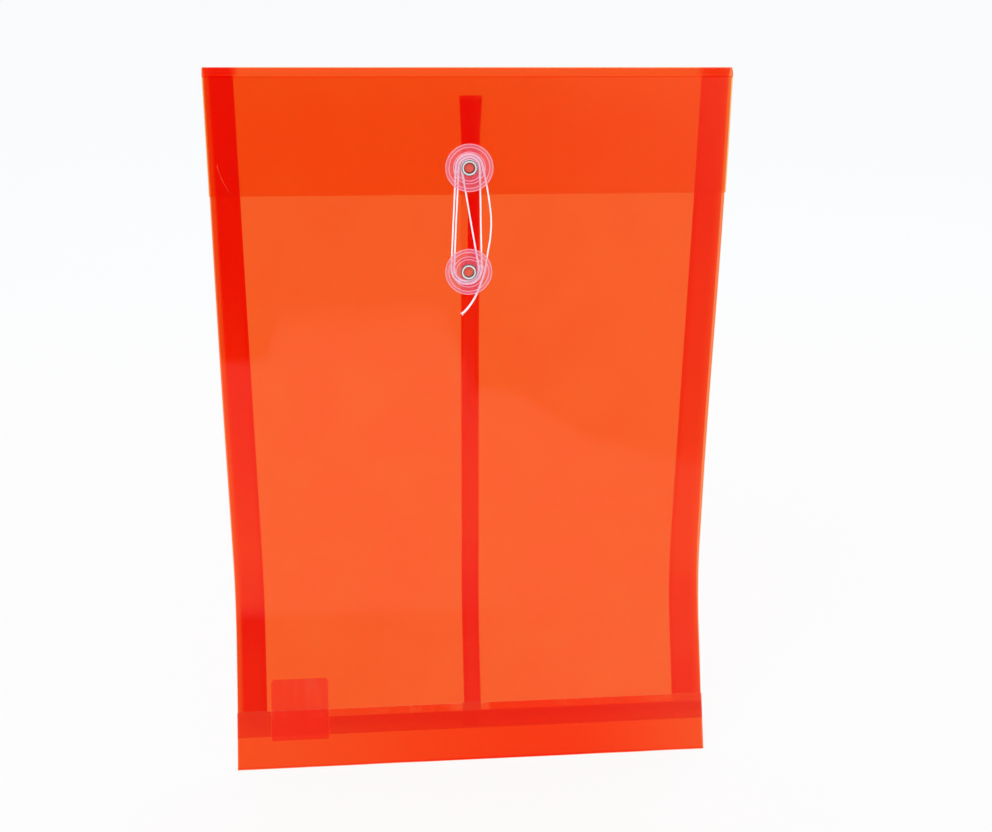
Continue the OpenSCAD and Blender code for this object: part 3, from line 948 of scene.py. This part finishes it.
def disc_profile():
    """Profile of a disc and its hub, and a mark on each side that belongs to a moulded ring."""
    half = DISC_T / 2
    rim = [(DISC_R - half * (1 - math.sin(a)), HUB_H + half * (1 - math.cos(a))) for a in HALF_TURN[2:13:2]]
    points = [(HOLE_R, DISC_CLEAR), (HUB_R, DISC_CLEAR), (HUB_R, HUB_H), *rim]
    marks = [0] * len(points)
    for share in RING_SHARES:
        outer = share * DISC_R
        ring = arch(outer, outer - RING_W, DISC_FACE, RING_H)
        points += ring
        marks += [1] * (len(ring) - 1) + [2 if share == RING_SHARES[0] else 0]
    points.append((HOLE_R, DISC_FACE))
    return points, marks + [0]


def eyelet_profile(grip):
    """Profile of an eyelet, and a mark on each side, set where painted shade darkens the outer and inner
    edges of its flange and the top of its bore.
    """
    foot = -grip - WASHER_T
    flange = arch(FLANGE_R, MOUTH_R, FLANGE_SEAT, FLANGE_T, 15)
    rim = [(r, 2 * foot - z) for r, z in arch(BORE_R, FLANGE_R, foot, RIM_T, 11)]
    marks = [1] * 5 + [0] * 5 + [1] * 5 + [0] * (len(rim) + 2)
    return [*flange, *rim, (BARREL_R, foot), (BARREL_R, FLANGE_SEAT)], marks


def washer_profile(grip):
    edge = WASHER_T / 4
    low, high = -grip - WASHER_T, -grip
    return [
        (HOLE_R, low), (WASHER_R - edge, low), (WASHER_R, low + edge),
        (WASHER_R, high - edge), (WASHER_R - edge, high), (HOLE_R, high),
    ]


def painted_light_disc_profile():
    """Thin pale disc across the bore, painted light that stands for light shining through both eyelets."""
    low, edge, thin = FLANGE_SEAT / 2, BORE_R - 0.00005, 0.0001
    return [(thin, low), (edge, low), (edge, low + thin), (thin, low + thin)]


def button(word, s, n, grip, holder):
    points, marks = disc_profile()
    plastics = [DISC_CLEAR_PLASTIC, DISC_RING_PLASTIC, DISC_BAND_PLASTIC]
    lathe(f"{word}_button_disc", points, s, n, plastics, f"{word}_disc", "disc", f"{word}_button", marks)
    points, marks = eyelet_profile(grip)
    metals = [NICKEL, NICKEL_PAINTED_SHADE]
    lathe(f"{word}_rivet", points, s, n, metals, f"{word}_eyelet", "metal", holder, marks)
    lathe(f"{word}_backing", washer_profile(grip), s, n, [WASHER_PLASTIC], f"{word}_washer", "disc", holder)
    lathe(f"{word}_bore_painted_light", painted_light_disc_profile(), s, n, [BORE_PAINTED_LIGHT_FILM], None, "disc", holder)


button("upper", UPPER_S, UPPER_N, SHEET_T, "flap")
button("lower", LOWER_S, LOWER_N, 2 * SHEET_T, "front")


# String: its plan points are (across, up) from the lower button's axis, in millimetres as in the source
MM = 0.001
CORD_D_MM = CORD_D / MM
PITCH_MM = BUTTON_PITCH / MM
TURN_GAP = 0.45
LOWER_TURN_GAP = 0.5
TIE_CLEAR = 0.1
TIE_R = HUB_R / MM + TIE_CLEAR + CORD_D_MM / 2
TIE_START = -60
TURNS = 2
LOWER_LOOP_R = 6
LOWER_LOOP_AT = np.array([-1, 1.1])
UPPER_LOOP_AT = np.array([0, PITCH_MM])
TAIL_ANGLE = 15
TAIL = [
    (7.5, 46), (8.7, 40), (9.8, 33.5), (10.6, 27.5), (10.8, 22), (10.3, 15.5), (9.2, 9), (8.6, 5), (8.3, 2),
    (7.6, -1.5), (6.4, -5), (5.1, -8.5), (4.0, -11.3), (2.8, -13.8), (1.2, -16.4), (-0.6, -18.8),
    (-2.3, -20.7), (-3.8, -21.8),
]
CORD_LIFT = CORD_CLEAR + CORD_D / 2
STEP_HIGH = FLAP_EDGE_S - 0.001
STEP_LOW = STEP_HIGH - 0.014


def round_hub(at, r, a0, a1):
    turn = np.radians(np.linspace(a0, a1, 13))
    return at + r * np.stack([np.cos(turn), np.sin(turn)], 1)


def string_plan():
    """Tied round the upper hub, crossed down, wound round both buttons, then slack past the lower one."""
    reach = UPPER_LOOP_AT - LOWER_LOOP_AT
    cross = math.asin((TIE_R + LOWER_LOOP_R) / np.linalg.norm(reach)) - math.atan(reach[0] / reach[1])
    cross = math.degrees(cross)
    runs = [round_hub(UPPER_LOOP_AT, TIE_R, TIE_START, 180 + cross)]
    for k in range(TURNS):
        last = k == TURNS - 1
        lower_r = LOWER_LOOP_R + k * (CORD_D_MM + LOWER_TURN_GAP)
        upper_r = TIE_R + (k + 1) * (CORD_D_MM + TURN_GAP)
        runs.append(round_hub(LOWER_LOOP_AT, lower_r, 0 if k else cross, -180))
        runs.append(round_hub(UPPER_LOOP_AT, upper_r, 180, TAIL_ANGLE if last else 0))
    turn = math.radians(TAIL_ANGLE)
    way_out = CORD_D_MM * np.array([math.sin(turn), -math.cos(turn)])
    return np.concatenate([*runs, [runs[-1][-1] + way_out, runs[-1][-1] + 2 * way_out], TAIL])


def cord_n(s):
    rise = np.clip((s - STEP_LOW) / (STEP_HIGH - STEP_LOW), 0, 1)
    return LOWER_N + CORD_LIFT + (UPPER_N - LOWER_N) * smooth(rise)


def resampled(points, step):
    """Points about step apart along a line of points."""
    way = np.append(0, np.cumsum(np.linalg.norm(np.diff(points, axis=0), axis=1)))
    even = np.linspace(0, way[-1], round(way[-1] / step) + 1)
    return np.stack([np.interp(even, way, points[:, k]) for k in range(points.shape[1])], 1)


def eased(points, passes):
    """The same line with its corners rounded off and its ends kept."""
    points = points.copy()
    for _ in range(passes):
        points[1:-1] = (points[:-2] + 2 * points[1:-1] + points[2:]) / 4
    return points


PLY_COUNT = 3
PLY_SIDES = 5
PLY_PITCH = 0.0034
CORD_STEP = 0.0005


def twisted_tube(way, radius):
    """Vertices and faces of a string of twisted plies along a way, with closed ends."""
    ahead = np.gradient(way, axis=0)
    ahead /= np.linalg.norm(ahead, axis=1)[:, None]
    aside = np.cross(ahead, [0, 1, 0])
    aside /= np.linalg.norm(aside, axis=1)[:, None]
    over = np.cross(ahead, aside)
    along = np.append(0, np.cumsum(np.linalg.norm(np.diff(way, axis=0), axis=1)))
    sides = PLY_COUNT * PLY_SIDES
    turn = np.linspace(0, 2 * math.pi, sides, endpoint=False)
    lobe = 0.8 + 0.2 * np.abs(np.cos(turn * PLY_COUNT / 2))
    angle = turn[None, :] + (2 * math.pi * along / PLY_PITCH)[:, None]
    reach = (np.asarray(radius) * np.ones(len(way)))[:, None] * lobe[None, :]
    rings = way[:, None] + reach[..., None] * (
        np.cos(angle)[..., None] * aside[:, None] + np.sin(angle)[..., None] * over[:, None])
    return tube_loft(rings)


LOOSE_LEN = 0.03
LOOSE_SWELL = 0.4
WOUND_SWELL = 0.44
FRAY_LEN = 0.0013
FRAY_SPREAD = 0.55
WOUND_R = 0.0095
WOUND_FADE = 0.003


def string_radius(plan):
    """Radius along the string: fuller where it lies wound under a disc and towards its loose end."""
    to_hub = np.minimum(np.hypot(*plan.T), np.hypot(plan[:, 0], plan[:, 1] - BUTTON_PITCH))
    wound = WOUND_SWELL * smooth((WOUND_R - to_hub) / WOUND_FADE)
    from_end = np.linspace(len(plan) * CORD_STEP, 0, len(plan))
    loose = LOOSE_SWELL * smooth(1 - from_end / LOOSE_LEN)
    return CORD_D / 2 * (1 + np.maximum(wound, loose))


def make_string():
    """The string with its frayed end, riding on the flap."""
    plan = eased(resampled(string_plan() * MM, CORD_STEP), 6)
    way = in_space(BUTTON_X + plan[:, 0], LOWER_S + plan[:, 1], cord_n(LOWER_S + plan[:, 1]))
    cut = len(way) - round(FRAY_LEN / CORD_STEP)
    vertices, faces = twisted_tube(way[:cut], string_radius(plan)[:cut])
    end, ahead = way[cut - 1], way[cut - 1] - way[cut - 3]
    ahead /= np.linalg.norm(ahead)
    for turn in (-FRAY_SPREAD, FRAY_SPREAD):
        lean = np.array([
            ahead[0] * math.cos(turn) - ahead[2] * math.sin(turn), 0,
            ahead[0] * math.sin(turn) + ahead[2] * math.cos(turn)])
        steps = np.linspace(-0.3, 1, 9)[:, None]
        more, rims = twisted_tube(end + lean * FRAY_LEN * steps, CORD_D * np.linspace(0.5, 0.28, 9))
        faces += [[i + len(vertices) for i in f] for f in rims]
        vertices = np.concatenate([vertices, more])
    nodes = ["string_winding", "string_tail"]
    piece = new_piece("string", vertices, faces, [COTTON], nodes, "string", "flap", 180)
    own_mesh(piece)


make_string()


# Line near the lower left corner of the flap
MARK_W = 0.00022
MARK_H = 0.00005
MARK_X = -0.1181
MARK_S = 0.3170
MARK_ACROSS = 0.0063
MARK_DOWN = 0.0153


def make_corner_mark():
    """Thin raised line that curves from the flap's side to its lower edge."""
    t = np.linspace(0, 1, 25)
    x = MARK_X + MARK_ACROSS * (0.35 * t + 0.65 * t**2)
    s = MARK_S - MARK_DOWN * t
    width = MARK_W * (0.25 + 0.75 * np.sin(math.pi * np.clip(t * 0.8 + 0.2, 0, 1)))
    face_n = FLAP_N + SHEET_T + gap(s)
    turn = np.linspace(0, 2 * math.pi, 8, endpoint=False)
    rings = [
        in_space(x[i] + width[i] / 2 * np.cos(turn), s[i], face_n[i] + MARK_H * np.sin(turn))
        for i in range(len(t))]
    new_piece("flap_corner_mark", *tube_loft(rings), [MARK_FILM], [], "sheet", "flap", 180)


make_corner_mark()


# Floor, light and what the gloss mirrors
FLOOR_HALF = 12.0
FLOOR_NEAR = (0.99, 0.985, 0.985)
FLOOR_FAR = (0.97, 0.985, 1.0)
FLOOR_FADE_Y = (0.1, 1.6)
FLOOR_ALBEDO = 0.61
SHADOW_SHARE = 0.1


def seen(nodes, links):
    """1 for rays that show a surface to the camera, by sight, gloss or glass."""
    path = nodes.new("ShaderNodeLightPath")
    total = math_node(nodes, links, "MAXIMUM", path.outputs["Is Camera Ray"], path.outputs["Is Glossy Ray"])
    return math_node(nodes, links, "MAXIMUM", total, path.outputs["Is Transmission Ray"])


def one_face(name, corners, material):
    """An object of one flat face."""
    mesh = bpy.data.meshes.new(name)
    mesh.from_pydata(corners, [], [range(len(corners))])
    mesh.materials.append(material)
    face = bpy.data.objects.new(name, mesh)
    scene.collection.objects.link(face)
    return face


def make_floor():
    """White floor that keeps a light shadow."""
    material, nodes, links, out = new_material("floor_white")
    lit = shader(nodes, "ShaderNodeBsdfDiffuse", Color=(FLOOR_ALBEDO, FLOOR_ALBEDO, FLOOR_ALBEDO, 1))
    axes = object_axes(nodes, links)
    away = eased_range(nodes, links, axes["Y"], *FLOOR_FADE_Y, 0.0, 1.0)
    even = nodes.new("ShaderNodeEmission")
    links.new(ramp(nodes, links, away, FLOOR_NEAR, FLOOR_FAR), even.inputs["Color"])
    share = math_node(nodes, links, "MULTIPLY", seen(nodes, links), 1 - SHADOW_SHARE)
    links.new(mix(nodes, links, share, lit.outputs[0], even.outputs[0]), out.inputs["Surface"])
    h = FLOOR_HALF
    one_face("floor", [(-h, -h, 0), (h, -h, 0), (h, h, 0), (-h, h, 0)], material)


# Cards that only the gloss mirrors: a near one for the upper half, a far one for the foot, as (x, z) outlines
NEAR_CARD_Y = -0.085
NEAR_CARD = [
    (-0.40, 0.178), (-0.108, 0.178), (-0.098, 0.2095), (-0.008, 0.2095), (0.008, 0.160),
    (0.037, 0.154), (0.075, 0.127), (0.14, 0.109), (0.40, 0.100), (0.40, 0.42), (-0.40, 0.42),
]
CARD_LIFT_Z = (0.25, 0.34)
FAR_CARD_Y = -0.40
FAR_CARD = [(-1.0, 0.10), (1.0, 0.10), (1.0, 0.60), (-1.0, 0.60)]


def make_card(name, y, outline, dark_x, dark, pale_x, pale, lift):
    """A card that goes from dark at its left to pale at its right, and paler by lift at its top."""
    material, nodes, links, out = new_material(name)
    axes = object_axes(nodes, links)
    across = eased_range(nodes, links, axes["X"], dark_x, pale_x, dark, pale)
    up = eased_range(nodes, links, axes["Z"], *CARD_LIFT_Z, 1.0, lift)
    dull = shader(nodes, "ShaderNodeEmission", Color=(1, 1, 1, 1))
    links.new(math_node(nodes, links, "MULTIPLY", across, up), dull.inputs["Strength"])
    links.new(dull.outputs[0], out.inputs["Surface"])
    card = one_face(name, [(x, y, z) for x, z in outline], material)
    card.visible_camera = False
    card.visible_diffuse = False
    card.visible_transmission = False
    card.visible_shadow = False


def make_world():
    world = bpy.data.worlds.new("studio")
    scene.world = world
    world.use_nodes = True
    nodes, links = world.node_tree.nodes, world.node_tree.links
    nodes.clear()
    out = nodes.new("ShaderNodeOutputWorld")
    light = shader(nodes, "ShaderNodeBackground", Color=(0.98, 0.99, 1.0, 1), Strength=1.25)
    sight = shader(nodes, "ShaderNodeBackground", Color=(0.935, 0.95, 0.957, 1), Strength=1.0)
    shown = mix(nodes, links, seen(nodes, links), light.outputs[0], sight.outputs[0])
    links.new(shown, out.inputs["Surface"])


LAMPS_AIM = Vector((0, 0, 0.2))


def make_lamp(name, at, size, watts):
    data = bpy.data.lights.new(name, "AREA")
    data.size = size
    data.energy = watts
    lamp = bpy.data.objects.new(name, data)
    lamp.location = at
    lamp.rotation_mode = "QUATERNION"
    lamp.rotation_quaternion = (LAMPS_AIM - Vector(at)).to_track_quat("-Z", "Y")
    scene.collection.objects.link(lamp)


make_floor()
make_card("near_card", NEAR_CARD_Y, NEAR_CARD, dark_x=-0.02, dark=0.02, pale_x=0.17, pale=0.45, lift=1.45)
make_card("far_card", FAR_CARD_Y, FAR_CARD, dark_x=-0.13, dark=0.25, pale_x=0.18, pale=0.95, lift=1.0)
make_world()
make_lamp("key", (-0.7, -0.9, 1.3), 0.7, 8.0)
make_lamp("back", (0.5, 1.0, 1.2), 0.8, 5.0)
